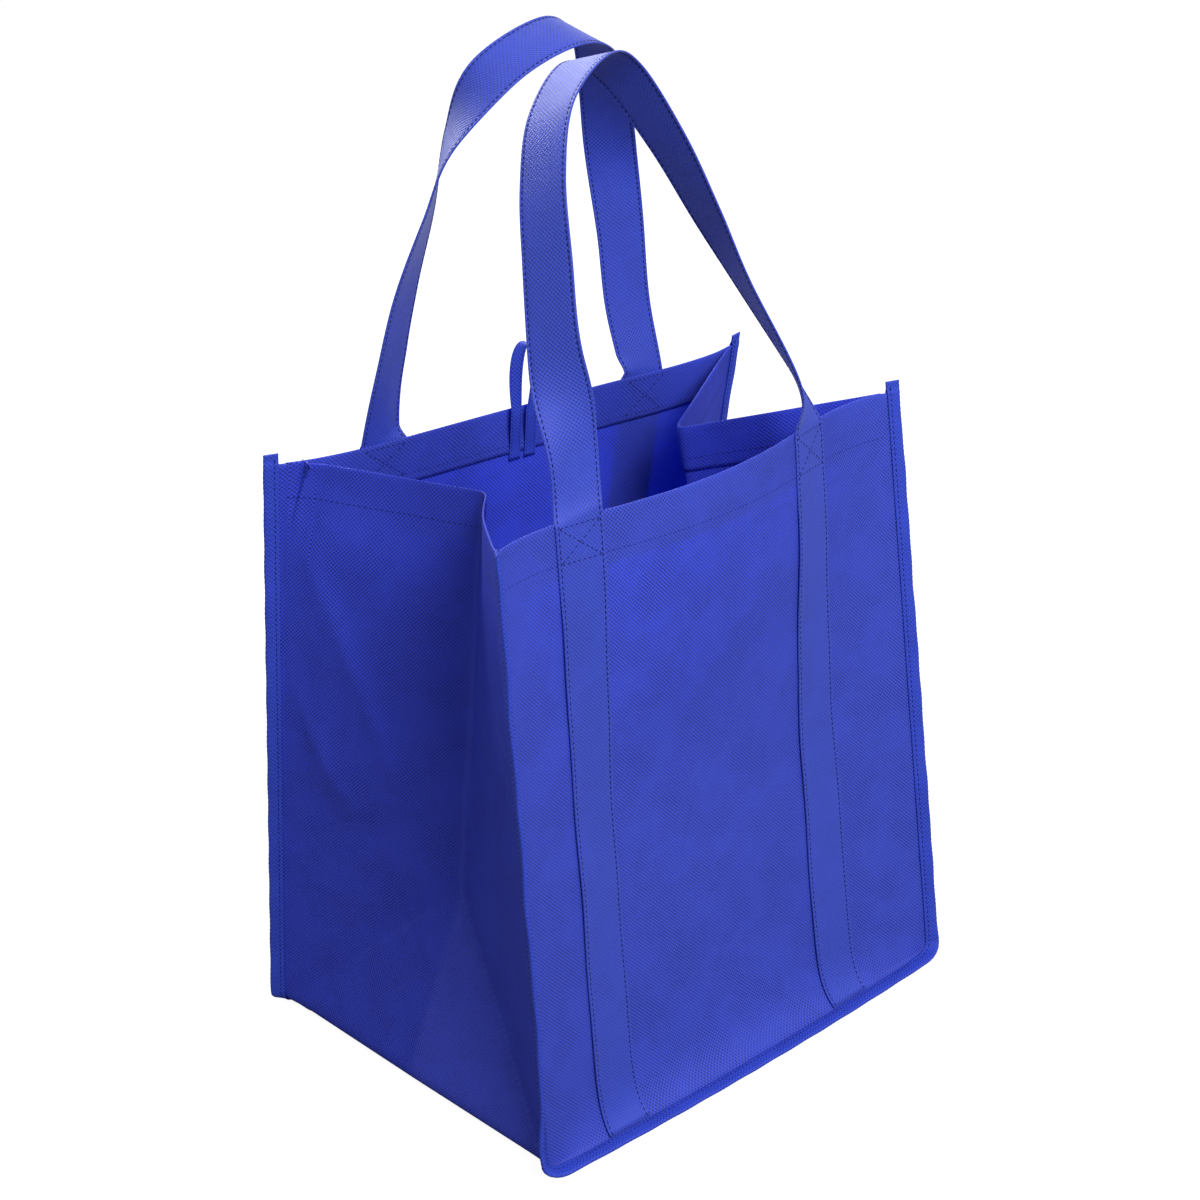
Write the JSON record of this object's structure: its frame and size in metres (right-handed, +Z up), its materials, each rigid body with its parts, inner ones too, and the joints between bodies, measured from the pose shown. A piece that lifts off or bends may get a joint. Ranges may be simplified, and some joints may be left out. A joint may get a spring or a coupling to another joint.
{
  "type": "non-woven shopping bag",
  "caption": "Open gusseted carry bag of blue non-woven cloth with bound seams, hemmed mouth, long looped handles, an inner hanging loop and a base board.",
  "frame": {"origin": "under the middle of the base, on the surface that the bag stands on", "axes": "+Z up, +X along the front panel, the front panel faces -Y"},
  "size_m": [0.3616, 0.283, 0.6132],
  "materials": {
    "panel_cloth": "embossed spunbond polypropylene, matt",
    "gusset_cloth": "embossed spunbond polypropylene, matt",
    "binding_tape": "folded spunbond tape, sewn",
    "strap_cloth": "doubled spunbond strap, edge sewn",
    "loop_tape": "narrow folded tape",
    "board_plastic": "extruded polyethylene sheet, matt"
  },
  "bodies": {
    "root": {"front_panel": "panel_cloth", "back_panel": "panel_cloth", "gusset_strip": "gusset_cloth", "front_binding": "binding_tape", "back_binding": "binding_tape", "front_handle": "strap_cloth", "back_handle": "strap_cloth", "hanging_loop": "loop_tape", "base_board": "board_plastic"}
  },
  "joints": []
}
